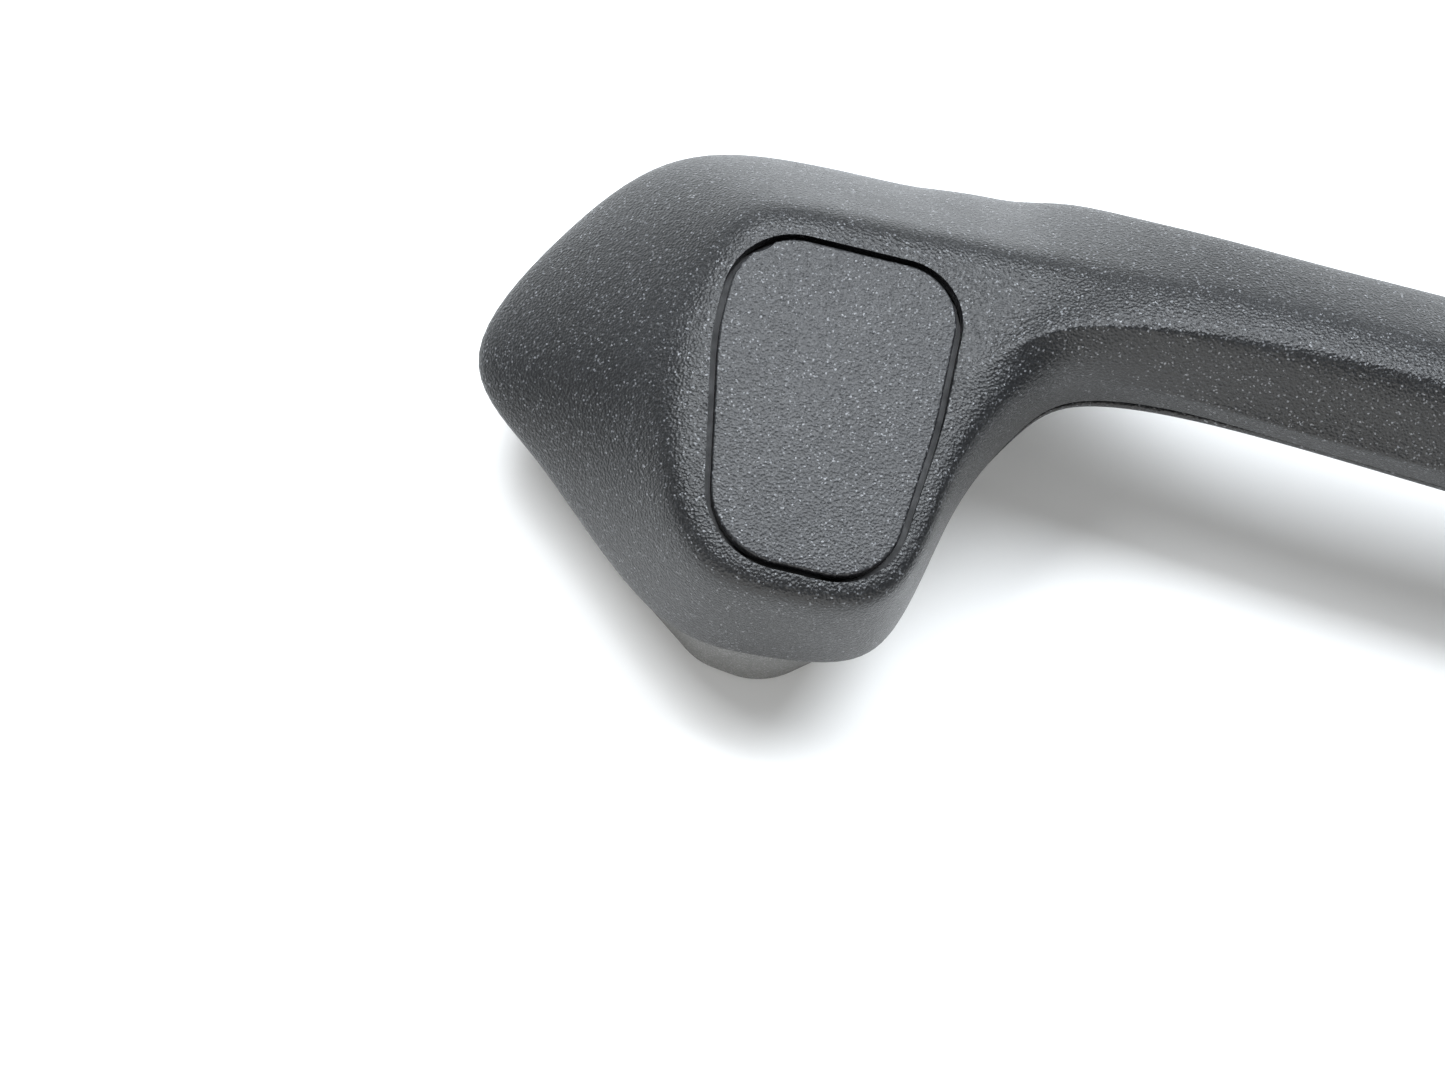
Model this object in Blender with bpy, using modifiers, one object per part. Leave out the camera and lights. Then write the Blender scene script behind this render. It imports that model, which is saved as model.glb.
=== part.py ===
"""Interior pull handle of a car door: a hollow grip on two pads, held by a bolt under a snap-in cover in each pad.

The frame: X along the handle, +Y towards the grip's bowed side, +Z away from the door.
The origin is on the ground under the middle, and the handle stands on its two spigots.
Lengths are in millimetres in the tables and constants here, and mm() turns them into metres.
"""
import bmesh
import bpy
import math
from mathutils import Vector

NAME = "door_pull_handle"

# Driving dimensions
PAD_X = 97.5  # from the middle to a pad's own centre
PAD_Y = -7.7  # a pad's own centre, across the handle
RIM_Z = 18.0  # the pads' back edge, which meets the door trim
FRONT_Z = 40.0  # the pads' front face
GRIP_BACK_Z = 34.0  # the parting line of the grip, at the middle
WALL = 2.2
PARTING_GAP = 0.5  # between the grip's two halves, measured upright
STEEP_PARTING_GAP = 1.6  # the same where the parting line climbs from a pad to the grip
BACK_WALL = 1.8  # the grip's rear half
COVER_GAP = 0.85  # round a screw cover
COVER_THICK = 2.2
BOLT_U, BOLT_V = -3.0, -3.0  # the bolt's axis, from the pad's centre
BOLT_R = 3.0
BASE_Z = 17.4  # underside of the base plate, a little proud of the back edge
BASE_THICK = 2.8
BASE_END_U = 21.2  # where the base plate ends and the back cover begins
SOCKET_R = 9.0  # the hole in a foot that takes the door's threaded boss
SOCKET_DEPTH = 12.0
SLEEVE_R = 6.0
CORE_Z = 26.1  # underside of the steel core's tabs
CORE_THICK = 2.5
CORE_WIDTH = 9.0
BACK_SEAT_Z = 33.2  # the seat of the back cover's screw heads
TRAY_FLOOR_Z = CORE_Z + CORE_THICK + 0.3
TRAY_TOP_Z = 36.6
LEG_THICK, LEG_WIDE = 1.4, 6.0
# A cover's snap legs about the pad's centre: (u, v, which way the barb points)
COVER_LEGS = ((-14.7, 9.0, -1), (-11.2, -9.0, -1), (11.9, 9.0, 1), (11.9, -9.0, 1))
PRY_NOTCH = (-14.0, 18.6)
CREST_REACH = 4.6  # how far the rounding of the front face's crest reaches each way
CREST_CUT = 0.5
LIP = 1.5  # the upright lip along the front skin's back edge
SMOOTH = 1  # subdivision level of the outer skins

# A screw cover's outline about the pad's centre, as corners (u, v, radius)
COVER_CORNERS = [
    (13.5, 22.9, 8.4),
    (-17.6, 21.5, 9.4),
    (-17.4, 6.0, 40.0),
    (-10.6, -23.7, 10.8),
    (13.5, -22.4, 9.2),
    (14.7, 1.0, 70.0),
]
# A spigot's outline about the pad's centre, at its root
SPIGOT_CORNERS = [
    (12.5, 15.0, 8.0),
    (-21.0, 15.0, 8.0),
    (-24.6, -17.3, 3.5),
    (-7.5, -28.8, 10.0),
    (2.4, -29.5, 11.0),
    (10.8, -22.0, 9.0),
]

# The end of a pad, from its top round the nose to its bottom: the crest of the front face and the back edge
PAD_END = [
    ((-9.2, 25.8), (-15.6, 40.9)),
    ((-16.4, 22.8), (-31.0, 35.4)),
    ((-19.6, 14.5), (-42.4, 20.0)),
    ((-20.4, 3.6), (-48.2, 0.8)),
    ((-19.4, -8.0), (-37.8, -10.6)),
    ((-15.8, -18.8), (-25.4, -20.6)),
    ((-9.0, -25.8), (-12.4, -28.9)),
]
# From a pad's middle to the grip's middle: the front's centre, lower crest, lower edge, upper crest, upper edge,
# the front's height above the pad's face, and the back edge's height as a share of the way up to the parting line
STATIONS = [
    ((0.0, 0.0), (0.0, -27.0), (0.0, -29.7), (0.0, 26.6), (0.0, 42.2), 0.0, 0.0),
    ((5.0, 0.0), (10.2, -25.2), (11.8, -27.0), (6.5, 27.2), (6.5, 43.0), 0.0, 0.0),
    ((9.0, 2.0), (16.2, -18.6), (17.4, -19.8), (12.5, 27.7), (12.5, 43.9), 0.0, 0.0),
    ((12.0, 5.0), (18.2, -7.4), (19.8, -8.0), (18.0, 28.1), (18.0, 44.6), 0.0, 0.0),
    ((15.0, 9.0), (20.6, 2.2), (22.2, 1.6), (24.0, 28.5), (24.0, 45.2), 0.2, 0.14),
    ((19.5, 14.0), (25.2, 11.0), (26.8, 10.4), (30.0, 28.8), (30.0, 44.6), 1.0, 0.34),
    ((27.5, 19.5), (31.5, 16.0), (32.8, 14.6), (37.0, 29.1), (37.0, 43.0), 2.5, 0.62),
    ((42.0, 22.5), (44.0, 17.6), (45.0, 15.6), (47.0, 29.2), (47.0, 41.6), 4.6, 0.88),
    ((60.0, 23.6), (61.0, 17.6), (61.0, 15.2), (62.0, 29.2), (62.0, 41.2), 6.5, 0.98),
    ((79.0, 24.0), (79.0, 17.4), (79.0, 15.0), (79.5, 29.2), (79.5, 41.6), 7.6, 1.0),
    ((97.5, 24.0), (97.5, 17.3), (97.5, 14.9), (97.5, 29.2), (97.5, 41.8), 8.0, 1.0),
]
# The steel core's path from a pad's bolt to the middle: (u, v, height of its underside)
CORE_PATH = [
    (-3.0, -3.0, 26.1),
    (8.0, 8.0, 26.1),
    (18.0, 16.0, 26.1),
    (24.0, 19.0, 27.2),
    (32.0, 22.4, 31.8),
    (41.0, 25.2, 35.8),
    (50.0, 25.8, 37.8),
    (62.0, 26.0, 38.8),
    (97.5, 26.0, 39.6),
]
GRIP_SCREW_X = (-42.0, -16.0, 16.0, 42.0)
BASE_SCREWS = ((-30.5, 5.0), (15.5, 28.2))
BASE_BOSS_TOPS = (29.4, 34.6)  # inside the front skin's wall


def mm(*values):
    return Vector([v / 1000 for v in values])


def place(side, u, v, z):
    """A point given about a pad's centre, in metres. Side is -1 for the left pad and 1 for the right."""
    return mm(side * (PAD_X - u), PAD_Y + v, z)


# Scene, collections and materials


def clear_scene():
    for obj in list(bpy.data.objects):
        bpy.data.objects.remove(obj, do_unlink=True)


def collection(name):
    made = bpy.data.collections.new(name)
    bpy.context.scene.collection.children.link(made)
    return made


def material(name, colour, roughness, metallic):
    made = bpy.data.materials.new(name)
    made.use_nodes = True
    shader = made.node_tree.nodes["Principled BSDF"]
    shader.inputs["Base Color"].default_value = (*colour, 1.0)
    shader.inputs["Roughness"].default_value = roughness
    shader.inputs["Metallic"].default_value = metallic
    return made


clear_scene()
PARTS = collection(NAME)
CUTTERS = collection("cutters")
GRAINED = material("grained_black_plastic", (0.022, 0.023, 0.026), 0.55, 0.0)
COVER_PLASTIC = material("cover_black_plastic", (0.026, 0.027, 0.031), 0.55, 0.0)
INNER = material("inner_black_nylon", (0.03, 0.03, 0.03), 0.6, 0.0)
STEEL = material("coated_steel", (0.10, 0.10, 0.11), 0.45, 0.9)
ZINC = material("zinc_plated_steel", (0.55, 0.56, 0.58), 0.32, 1.0)


# Building blocks


def add_object(name, mesh, finish=None, cutter=False):
    obj = bpy.data.objects.new(name, mesh)
    (CUTTERS if cutter else PARTS).objects.link(obj)
    if finish:
        mesh.materials.append(finish)
    if cutter:
        obj.hide_render = True
        obj.display_type = "WIRE"
    return obj


def mesh_from(bm, name, smooth_angle=None):
    bmesh.ops.recalc_face_normals(bm, faces=bm.faces)
    mesh = bpy.data.meshes.new(name)
    bm.to_mesh(mesh)
    bm.free()
    if smooth_angle:
        mesh.shade_smooth()
        mesh.set_sharp_from_angle(angle=math.radians(smooth_angle))
    return mesh


def rounded_outline(corners, offset=0.0, steps=5):
    """The points round a polygon whose corners are arcs, pushed outwards by offset. Anticlockwise corners."""
    points = []
    count = len(corners)
    for i, (u, v, radius) in enumerate(corners):
        here = Vector((u, v))
        before = (Vector(corners[i - 1][:2]) - here).normalized()
        after = (Vector(corners[(i + 1) % count][:2]) - here).normalized()
        half = before.angle(after) / 2
        centre = here + (before + after).normalized() * (radius / math.sin(half))
        start = here + before * (radius / math.tan(half)) - centre
        end = here + after * (radius / math.tan(half)) - centre
        for k in range(steps + 1):
            spoke = start.lerp(end, k / steps).normalized()
            points.append(centre + spoke * (radius + offset))
    return points


def prism(bm, side, outline, z0, z1, inset_at_z0=0.0):
    """A closed solid between two heights over an outline about a pad's centre, drawn in towards its middle at z0."""
    middle = sum(outline, Vector((0.0, 0.0))) / len(outline)
    low = []
    high = []
    for p in outline:
        q = p + (middle - p).normalized() * inset_at_z0
        low.append(bm.verts.new(place(side, q.x, q.y, z0)))
        high.append(bm.verts.new(place(side, p.x, p.y, z1)))
    bm.faces.new(low)
    bm.faces.new(high)
    for i in range(len(outline)):
        j = (i + 1) % len(outline)
        bm.faces.new((low[i], low[j], high[j], high[i]))


def cylinder(bm, centre, radius, height, segments=24, along=None):
    """A cylinder from its centre's height upwards, or along X about its centre."""
    made = bmesh.ops.create_cone(
        bm,
        cap_ends=True,
        segments=segments,
        radius1=radius / 1000,
        radius2=radius / 1000,
        depth=height / 1000,
    )["verts"]
    if along == "X":
        turn = Vector((0, 0, 1)).rotation_difference(Vector((1, 0, 0))).to_matrix()
        bmesh.ops.rotate(bm, verts=made, matrix=turn)
        bmesh.ops.translate(bm, verts=made, vec=centre)
    else:
        bmesh.ops.translate(bm, verts=made, vec=centre + mm(0, 0, height / 2))
    return made


def cutter_cylinder(name, centre, radius, height, segments=24, along=None):
    bm = bmesh.new()
    cylinder(bm, centre, radius, height, segments, along)
    return add_object(name, mesh_from(bm, name), cutter=True)


def cutter_box(name, centre, size):
    bm = bmesh.new()
    made = bmesh.ops.create_cube(bm, size=1.0)["verts"]
    bmesh.ops.scale(bm, vec=mm(*size), verts=made)
    bmesh.ops.translate(bm, vec=centre, verts=made)
    return add_object(name, mesh_from(bm, name), cutter=True)


def boolean(obj, other, operation="DIFFERENCE"):
    step = obj.modifiers.new(f"{operation.lower()}_{other.name}", "BOOLEAN")
    step.operation = operation
    step.object = other
    step.solver = "EXACT"


def skin_modifiers(obj, thickness):
    smooth = obj.modifiers.new("smooth", "SUBSURF")
    smooth.levels = SMOOTH
    smooth.render_levels = SMOOTH
    smooth.boundary_smooth = "PRESERVE_CORNERS"
    shell = obj.modifiers.new("wall", "SOLIDIFY")
    shell.thickness = thickness / 1000
    shell.offset = -1.0
    shell.use_even_offset = True


# The outer skins


def back_edge_z(share):
    return RIM_Z + (GRIP_BACK_Z - RIM_Z) * share


def half_row(centre, crest, edge, front_z, crest_drop, edge_z, belly, cut=CREST_CUT):
    """A row of the front skin's cage from its centre line over the crest and down the wall to the back edge."""
    c, k, e = Vector((*centre, front_z)), Vector((*crest, front_z - crest_drop)), Vector((*edge, edge_z + LIP))
    inward = (c - k).normalized()
    down = (e - k).normalized()
    out = Vector((edge[0] - crest[0], edge[1] - crest[1], 0)).normalized() * belly
    return [
        k + inward * CREST_REACH,
        k + (inward + down) * cut,
        k + down * CREST_REACH + out * 0.4,
        k.lerp(e, 0.62) + out,
        e,
        Vector((*edge, edge_z)),
    ]


def through(points, free_start=False, rounds=30):
    """Moves a line's control points so that the smoothed line passes through the points given. The line goes on
    mirrored past the middle plane at its last point, and at its first unless that is a free end."""
    controls = [p.copy() for p in points]
    mirror = Vector((-1.0, 1.0, 1.0))
    for _ in range(rounds):
        before = [controls[1] * mirror, *controls[:-1]]
        after = [*controls[1:], controls[-2] * mirror]
        smooth = [(a + c * 4 + b) / 6 for a, c, b in zip(before, controls, after)]
        controls = [c + (p - s) for c, p, s in zip(controls, points, smooth)]
        if free_start:
            controls[0] = points[0].copy()
    return controls


def front_skin_rows():
    """The rows of one half of the front skin's cage: from the grip's middle along its upper side, round the pad's
    end and back along its lower side. Each row runs from the front's centre line out to the back edge."""
    lower = []
    upper = []
    for centre, lo_crest, lo_edge, up_crest, up_edge, rise, share in STATIONS:
        front_z = FRONT_Z + rise
        edge_z = back_edge_z(share)
        grip = min(1.0, rise / 6.0)
        low_drop, low_cut = 0.2 + 4.0 * grip, CREST_CUT + 1.9 * grip
        lower.append(half_row(centre, lo_crest, lo_edge, front_z, low_drop, edge_z, 0.4 + 0.5 * grip, low_cut))
        upper.append(half_row(centre, up_crest, up_edge, front_z, 0.2 + 0.4 * grip, edge_z, 0.5))
    ends = [half_row((0.0, 0.0), crest, edge, FRONT_Z, 0.2, RIM_Z, 0.6) for crest, edge in PAD_END]
    return [*reversed(upper), *ends, *lower]


def front_skin_cage(bm):
    """The cage of the front skin, mirrored about the middle plane."""
    centres = [Vector((*s[0], FRONT_Z + s[5])) for s in STATIONS]
    spine = [*reversed(centres), *[centres[0]] * len(PAD_END), *centres]
    rows = [[place(-1, *p) for p in row] for row in front_skin_rows()]
    lines = [through(list(line)) for line in zip(*rows)]
    rows = [[place(-1, *middle), *row] for middle, row in zip(spine, zip(*lines))]
    for mirror in (1, -1):
        verts = [[bm.verts.new((p[0] * mirror, p[1], p[2])) for p in row] for row in rows]
        for near, far in zip(verts, verts[1:]):
            for a, b, c, d in zip(near, near[1:], far, far[1:]):
                bm.faces.new((a, b, d, c)[::mirror])
    bmesh.ops.remove_doubles(bm, verts=bm.verts, dist=0.00002)


def face_outwards(bm, up):
    """Turns an open skin so that its middle faces up or down."""
    bm.normal_update()
    total = sum(f.normal.z * f.calc_area() for f in bm.faces)
    if (total > 0) != up:
        bmesh.ops.reverse_faces(bm, faces=bm.faces)


def open_mesh(bm, name, up):
    face_outwards(bm, up)
    mesh = bpy.data.meshes.new(name)
    bm.to_mesh(mesh)
    bm.free()
    mesh.shade_smooth()
    return mesh


def grip_shell():
    bm = bmesh.new()
    front_skin_cage(bm)
    shell = add_object("grip_shell", open_mesh(bm, "grip_shell", up=True), GRAINED)
    skin_modifiers(shell, WALL)
    for side, word in ((-1, "left"), (1, "right")):
        bm = bmesh.new()
        prism(bm, side, rounded_outline(COVER_CORNERS, COVER_GAP / 2), 36.0, 44.0)
        boolean(shell, add_object(f"{word}_opening", mesh_from(bm, "opening"), cutter=True))
        for number, (u, v) in enumerate(BASE_SCREWS, 1):
            top = BASE_BOSS_TOPS[number - 1]
            boss = cutter_cylinder(f"{word}_base_boss_{number}", place(side, u, v, 20.9), 3.0, top - 20.9, 16)
            boolean(shell, boss, "UNION")
            hole = cutter_cylinder(f"{word}_base_pilot_{number}", place(side, u, v, 19.0), 1.55, 7.0, 16)
            boolean(shell, hole)
    for number, x in enumerate(GRIP_SCREW_X, 1):
        foot = mm(x, grip_centre_y(x), core_top_z(x) + 0.3)
        height = grip_front_z(x) - 2.0 - foot.z * 1000
        boolean(shell, cutter_cylinder(f"grip_boss_{number}", foot, 3.2, height, 16), "UNION")
        boolean(shell, cutter_cylinder(f"grip_pilot_{number}", foot - mm(0, 0, 1), 1.55, 4.4, 16))
    return shell


def back_section(lo_edge, up_edge, share):
    """The closed cross-section of the grip's rear half: a shallow trough with upright lips under the front skin."""
    a, b = Vector(lo_edge), Vector(up_edge)
    top = back_edge_z(share) - (PARTING_GAP if share > 0.9 else STEEP_PARTING_GAP)
    low = top - 1.6
    bulge = 1.8 * min(1.0, share * 1.3)
    wall = BACK_WALL / (b - a).length
    outside = [(0.0, top), (0.0, low), (0.06, low - 0.6 * bulge), (0.22, low - bulge), (0.5, low - 1.12 * bulge)]
    inside = [(0.5, low - bulge + BACK_WALL), (0.24, low - 0.85 * bulge + BACK_WALL)]
    inside += [(wall + 0.03, low + 0.6), (wall, top)]
    section = [(*a.lerp(b, t), z) for t, z in outside]
    section += [(*a.lerp(b, 1.0 - t), z) for t, z in reversed(outside[:-1])]
    section += [(*a.lerp(b, 1.0 - t), z) for t, z in reversed(inside[1:])]
    section += [(*a.lerp(b, t), z) for t, z in inside]
    return section


def back_cover():
    """The grip's rear half: it meets the front skin's back edge with a fine parting line and bulges to the back."""
    lead_in = 3  # the station before the cover's end, which only shapes its lines
    sections = [back_section(lo_edge, up_edge, share) for _, _, lo_edge, _, up_edge, _, share in STATIONS[lead_in:]]
    rows = []
    for side in (-1, 1):
        lines = [through([place(side, *p) for p in line], free_start=True) for line in zip(*sections)]
        points = list(zip(*lines))[1:]
        rows += points if side < 0 else points[-2::-1]
    bm = bmesh.new()
    crease = bm.edges.layers.float.new("crease_edge")
    rings = [[bm.verts.new(p) for p in row] for row in rows]
    for near, far in zip(rings, rings[1:]):
        for k in range(len(near)):
            n = (k + 1) % len(near)
            bm.faces.new((near[k], near[n], far[n], far[k]))
    for end in (rings[0], rings[-1]):
        for edge in bm.faces.new(end).edges:
            edge[crease] = 1.0
    cover = add_object("grip_back_cover", mesh_from(bm, "grip_back_cover", 40), GRAINED)
    smooth = cover.modifiers.new("smooth", "SUBSURF")
    smooth.levels = SMOOTH
    smooth.render_levels = SMOOTH
    for number, x in enumerate(GRIP_SCREW_X, 1):
        y = grip_centre_y(x)
        boolean(cover, cutter_cylinder(f"back_boss_{number}", mm(x, y, 31.4), 4.8, 4.0, 20), "UNION")
        boolean(cover, cutter_cylinder(f"back_counterbore_{number}", mm(x, y, 26.0), 3.4, BACK_SEAT_Z - 26.0, 20))
        boolean(cover, cutter_cylinder(f"back_hole_{number}", mm(x, y, 30.0), 1.9, 12.0, 16))
    return cover


# The steel core and what follows its path


def core_at(x):
    """The core's centre and underside at a place along the handle, from the straight runs of its path."""
    u = PAD_X - abs(x)
    for (u0, v0, z0), (u1, v1, z1) in zip(CORE_PATH, CORE_PATH[1:]):
        if u0 <= u <= u1:
            t = (u - u0) / (u1 - u0)
            return PAD_Y + v0 + (v1 - v0) * t, z0 + (z1 - z0) * t
    raise ValueError("outside the core")


def grip_centre_y(x):
    return core_at(x)[0]


def grip_front_z(x):
    """The height of the front skin's centre line at a place along the grip."""
    u = PAD_X - abs(x)
    for near, far in zip(STATIONS, STATIONS[1:]):
        if near[0][0] <= u <= far[0][0]:
            t = (u - near[0][0]) / (far[0][0] - near[0][0])
            return FRONT_Z + near[5] + (far[5] - near[5]) * t
    raise ValueError("outside the grip")


def core_top_z(x):
    return core_at(x)[1] + CORE_THICK


def steel_core():
    """A flat bar bent down at both ends to the tabs under the bolts."""
    bm = bmesh.new()
    path = [place(-1, *p) for p in CORE_PATH] + [place(1, *p) for p in reversed(CORE_PATH[:-1])]
    rings = []
    for i, p in enumerate(path):
        along = path[min(i + 1, len(path) - 1)] - path[max(i - 1, 0)]
        across = Vector((-along.y, along.x, 0)).normalized() * (CORE_WIDTH / 2000)
        lift = mm(0, 0, CORE_THICK)
        corners = (p - across, p + across, p + across + lift, p - across + lift)
        rings.append([bm.verts.new(c) for c in corners])
    bm.faces.new(rings[0])
    bm.faces.new(rings[-1])
    for near, far in zip(rings, rings[1:]):
        for k in range(4):
            bm.faces.new((near[k], near[(k + 1) % 4], far[(k + 1) % 4], far[k]))
    core = add_object("steel_core", mesh_from(bm, "steel_core"), STEEL)
    for side, word in ((-1, "left"), (1, "right")):
        eye = place(side, BOLT_U, BOLT_V, CORE_Z)
        boolean(core, cutter_cylinder(f"{word}_core_eye", eye - mm(0, 0, 0.05), 11.0, CORE_THICK + 0.1, 32), "UNION")
        boolean(core, cutter_cylinder(f"{word}_core_hole", eye - mm(0, 0, 2), BOLT_R + 0.5, 8.0, 24))
    for number, x in enumerate(GRIP_SCREW_X, 1):
        centre = mm(x, grip_centre_y(x), core_at(x)[1] - 2)
        boolean(core, cutter_cylinder(f"core_screw_hole_{number}", centre, 1.9, 7.0, 16))
    return core


# The pieces of one pad


def base_outline():
    """The base plate's outline: the pad's back edge drawn in by the wall, more where the wall leans over it."""
    pairs = [(s[3], s[4]) for s in reversed(STATIONS[:5])] + PAD_END + [(s[1], s[2]) for s in STATIONS[:5]]
    height = FRONT_Z - RIM_Z
    plate = 2.5
    points = []
    for crest, edge in pairs:
        inward = Vector(crest) - Vector(edge)
        run = inward.length
        slope = math.atan2(height, run)
        inset = (WALL + 0.9) / math.sin(slope) + plate / math.tan(slope)
        point = Vector(edge) + inward.normalized() * inset
        points.append(Vector((min(point.x, BASE_END_U), point.y)))
    return points


def mounting_base(side, word):
    """The plate that closes a pad's back, its hollow spigot, and the tower that carries sleeve and core."""
    bm = bmesh.new()
    prism(bm, side, base_outline(), BASE_Z, BASE_Z + BASE_THICK)
    base = add_object(f"{word}_mounting_base", mesh_from(bm, "mounting_base"), INNER)
    bm = bmesh.new()
    prism(bm, side, rounded_outline(SPIGOT_CORNERS, 0.3), 0.0, RIM_Z - 0.3, inset_at_z0=0.6)
    boolean(base, add_object(f"{word}_spigot_body", mesh_from(bm, "spigot_body"), cutter=True), "UNION")
    bm = bmesh.new()
    prism(bm, side, rounded_outline(SPIGOT_CORNERS, -WALL), WALL, RIM_Z + 4.0, inset_at_z0=0.6)
    boolean(base, add_object(f"{word}_spigot_hollow", mesh_from(bm, "spigot_hollow"), cutter=True))
    axis = place(side, BOLT_U, BOLT_V, 0.0)
    tower_top = CORE_Z - 0.3
    boolean(base, cutter_cylinder(f"{word}_tower", axis + mm(0, 0, 1), SOCKET_R + 2.2, tower_top - 1, 32), "UNION")
    boolean(base, cutter_cylinder(f"{word}_socket", axis - mm(0, 0, 2), SOCKET_R, SOCKET_DEPTH + 2, 32))
    boolean(base, cutter_cylinder(f"{word}_ledge_hole", axis, 4.6, 20.0, 24))
    bore = axis + mm(0, 0, SOCKET_DEPTH + 1.5)
    boolean(base, cutter_cylinder(f"{word}_sleeve_bore", bore, SLEEVE_R + 0.3, 20.0, 32))
    for number, (u, v) in enumerate(BASE_SCREWS, 1):
        seat = place(side, u, v, RIM_Z - 2.0)
        boolean(base, cutter_cylinder(f"{word}_base_hole_{number}", seat, 1.9, 8.0, 16))
        boolean(base, cutter_cylinder(f"{word}_base_counterbore_{number}", seat, 3.4, 3.5, 20))
    return base


def tube(name, finish, centre, outer, inner, height):
    """A plain ring or sleeve, from its centre's height upwards."""
    profile = [(outer, height), (outer, 0.0), (inner, 0.0), (inner, height)]
    return turned(name, finish, centre, profile, 32, closed=True)


def turned(name, finish, centre, profile, segments=24, closed=False):
    """A round solid from a profile of (radius, height). A closed profile makes a ring, and an open one runs from
    the axis down its outer side and back to the axis."""
    bm = bmesh.new()
    verts = [bm.verts.new(mm(r, 0, z)) for r, z in profile]
    for a, b in zip(verts, verts[1:] + verts[:1] if closed else verts[1:]):
        bm.edges.new((a, b))
    mesh = bpy.data.meshes.new(name)
    bm.to_mesh(mesh)
    bm.free()
    obj = add_object(name, mesh, finish)
    obj.location = centre
    turn = obj.modifiers.new("turned", "SCREW")
    turn.steps = segments
    turn.render_steps = segments
    turn.use_merge_vertices = True
    turn.merge_threshold = 0.00001
    mesh.shade_smooth()
    return obj


def mounting_bolt(side, word):
    """An M6 flange bolt, 30 mm under the head, with an internal hexagon."""
    seat = TRAY_FLOOR_Z + 1.6 + 0.3
    profile = [
        (0.0, 5.2), (4.3, 5.2), (4.8, 4.7), (4.8, 1.6), (6.0, 1.1), (6.0, 0.0),
        (BOLT_R, 0.0), (BOLT_R, -29.3), (BOLT_R - 0.7, -30.0), (0.0, -30.0),
    ]
    bolt = turned(f"{word}_mounting_bolt", ZINC, place(side, BOLT_U, BOLT_V, seat), profile)
    key = cutter_cylinder(f"{word}_bolt_key", place(side, BOLT_U, BOLT_V, seat + 2.0), 2.75, 6.0, 6)
    boolean(bolt, key)
    return bolt


def screw_pocket(side, word):
    """The tray under a screw cover: a cup round the bolt head with a ledge at each end for the cover to rest over."""
    bm = bmesh.new()
    prism(bm, side, rounded_outline(COVER_CORNERS, 0.6), TRAY_FLOOR_Z, TRAY_TOP_Z)
    tray = add_object(f"{word}_screw_pocket", mesh_from(bm, "screw_pocket"), INNER)
    bm = bmesh.new()
    prism(bm, side, rounded_outline(COVER_CORNERS, -0.5), TRAY_FLOOR_Z + 1.2, TRAY_TOP_Z + 3)
    boolean(tray, add_object(f"{word}_tray_hollow", mesh_from(bm, "tray_hollow"), cutter=True))
    for end, v in (("upper", 21.2), ("lower", -22.0)):
        ledge = cutter_box(f"{word}_{end}_ledge", place(side, 0.0, v, TRAY_TOP_Z - 0.9), (10.0, 2.6, 3.1))
        boolean(tray, ledge, "UNION")
    floor_hole = place(side, BOLT_U, BOLT_V, TRAY_FLOOR_Z - 2)
    boolean(tray, cutter_cylinder(f"{word}_washer_window", floor_hole, 7.2, 6.0, 32))
    return tray


def screw_cover(side, word):
    """The snap-in cover: a plate flush with the pad's face, four legs with barbs and a pry notch in its edge."""
    bm = bmesh.new()
    prism(bm, side, rounded_outline(COVER_CORNERS, -COVER_GAP / 2), FRONT_Z - COVER_THICK, FRONT_Z - 0.05)
    cover = add_object(f"{word}_screw_cover", mesh_from(bm, "screw_cover"), COVER_PLASTIC)
    for number, (u, v, outwards) in enumerate(COVER_LEGS, 1):
        leg = cutter_box(f"{word}_leg_{number}", place(side, u, v, 35.8), (LEG_THICK, LEG_WIDE, 4.6))
        boolean(cover, leg, "UNION")
        barb = place(side, u + outwards * (LEG_THICK / 2 + 0.1), v, 34.3)
        boolean(cover, cutter_box(f"{word}_barb_{number}", barb, (0.9, LEG_WIDE - 1.0, 0.8)), "UNION")
    notch = place(side, *PRY_NOTCH, FRONT_Z)
    boolean(cover, cutter_cylinder(f"{word}_pry_notch", notch - mm(0, 0, 0.9), 1.5, 3.0, 16))
    return cover


def tapping_screw(name, head, length):
    """A pan-head screw that goes up from its head's seat."""
    profile = [
        (0.0, length), (0.5, length), (1.35, length - 1.6), (1.35, 0.0),
        (2.9, 0.0), (2.9, -0.9), (2.3, -1.7), (0.0, -1.7),
    ]
    screw = turned(name, ZINC, head, profile, 16)
    key = cutter_cylinder(f"{name}_key", head - mm(0, 0, 3.0), 1.1, 2.3, 6)
    boolean(screw, key)
    return screw


def pad_hardware(side, word):
    axis = place(side, BOLT_U, BOLT_V, 0.0)
    mounting_base(side, word)
    sleeve_foot = SOCKET_DEPTH + 1.5 + 0.3
    tube(
        f"{word}_compression_sleeve", ZINC, axis + mm(0, 0, sleeve_foot), SLEEVE_R, 3.4, CORE_Z - 0.3 - sleeve_foot
    )
    tube(f"{word}_bolt_washer", ZINC, axis + mm(0, 0, TRAY_FLOOR_Z), 6.4, 3.3, 1.6)
    screw_pocket(side, word)
    mounting_bolt(side, word)
    screw_cover(side, word)
    for number, (u, v) in enumerate(BASE_SCREWS, 1):
        tapping_screw(f"{word}_base_screw_{number}", place(side, u, v, RIM_Z + 1.2), 6.3)


def main():
    grip_shell()
    back_cover()
    steel_core()
    for side, word in ((-1, "left"), (1, "right")):
        pad_hardware(side, word)
    for number, x in enumerate(GRIP_SCREW_X, 1):
        tapping_screw(f"back_cover_screw_{number}", mm(x, grip_centre_y(x), BACK_SEAT_Z - 0.3), 10.9)


main()
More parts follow.
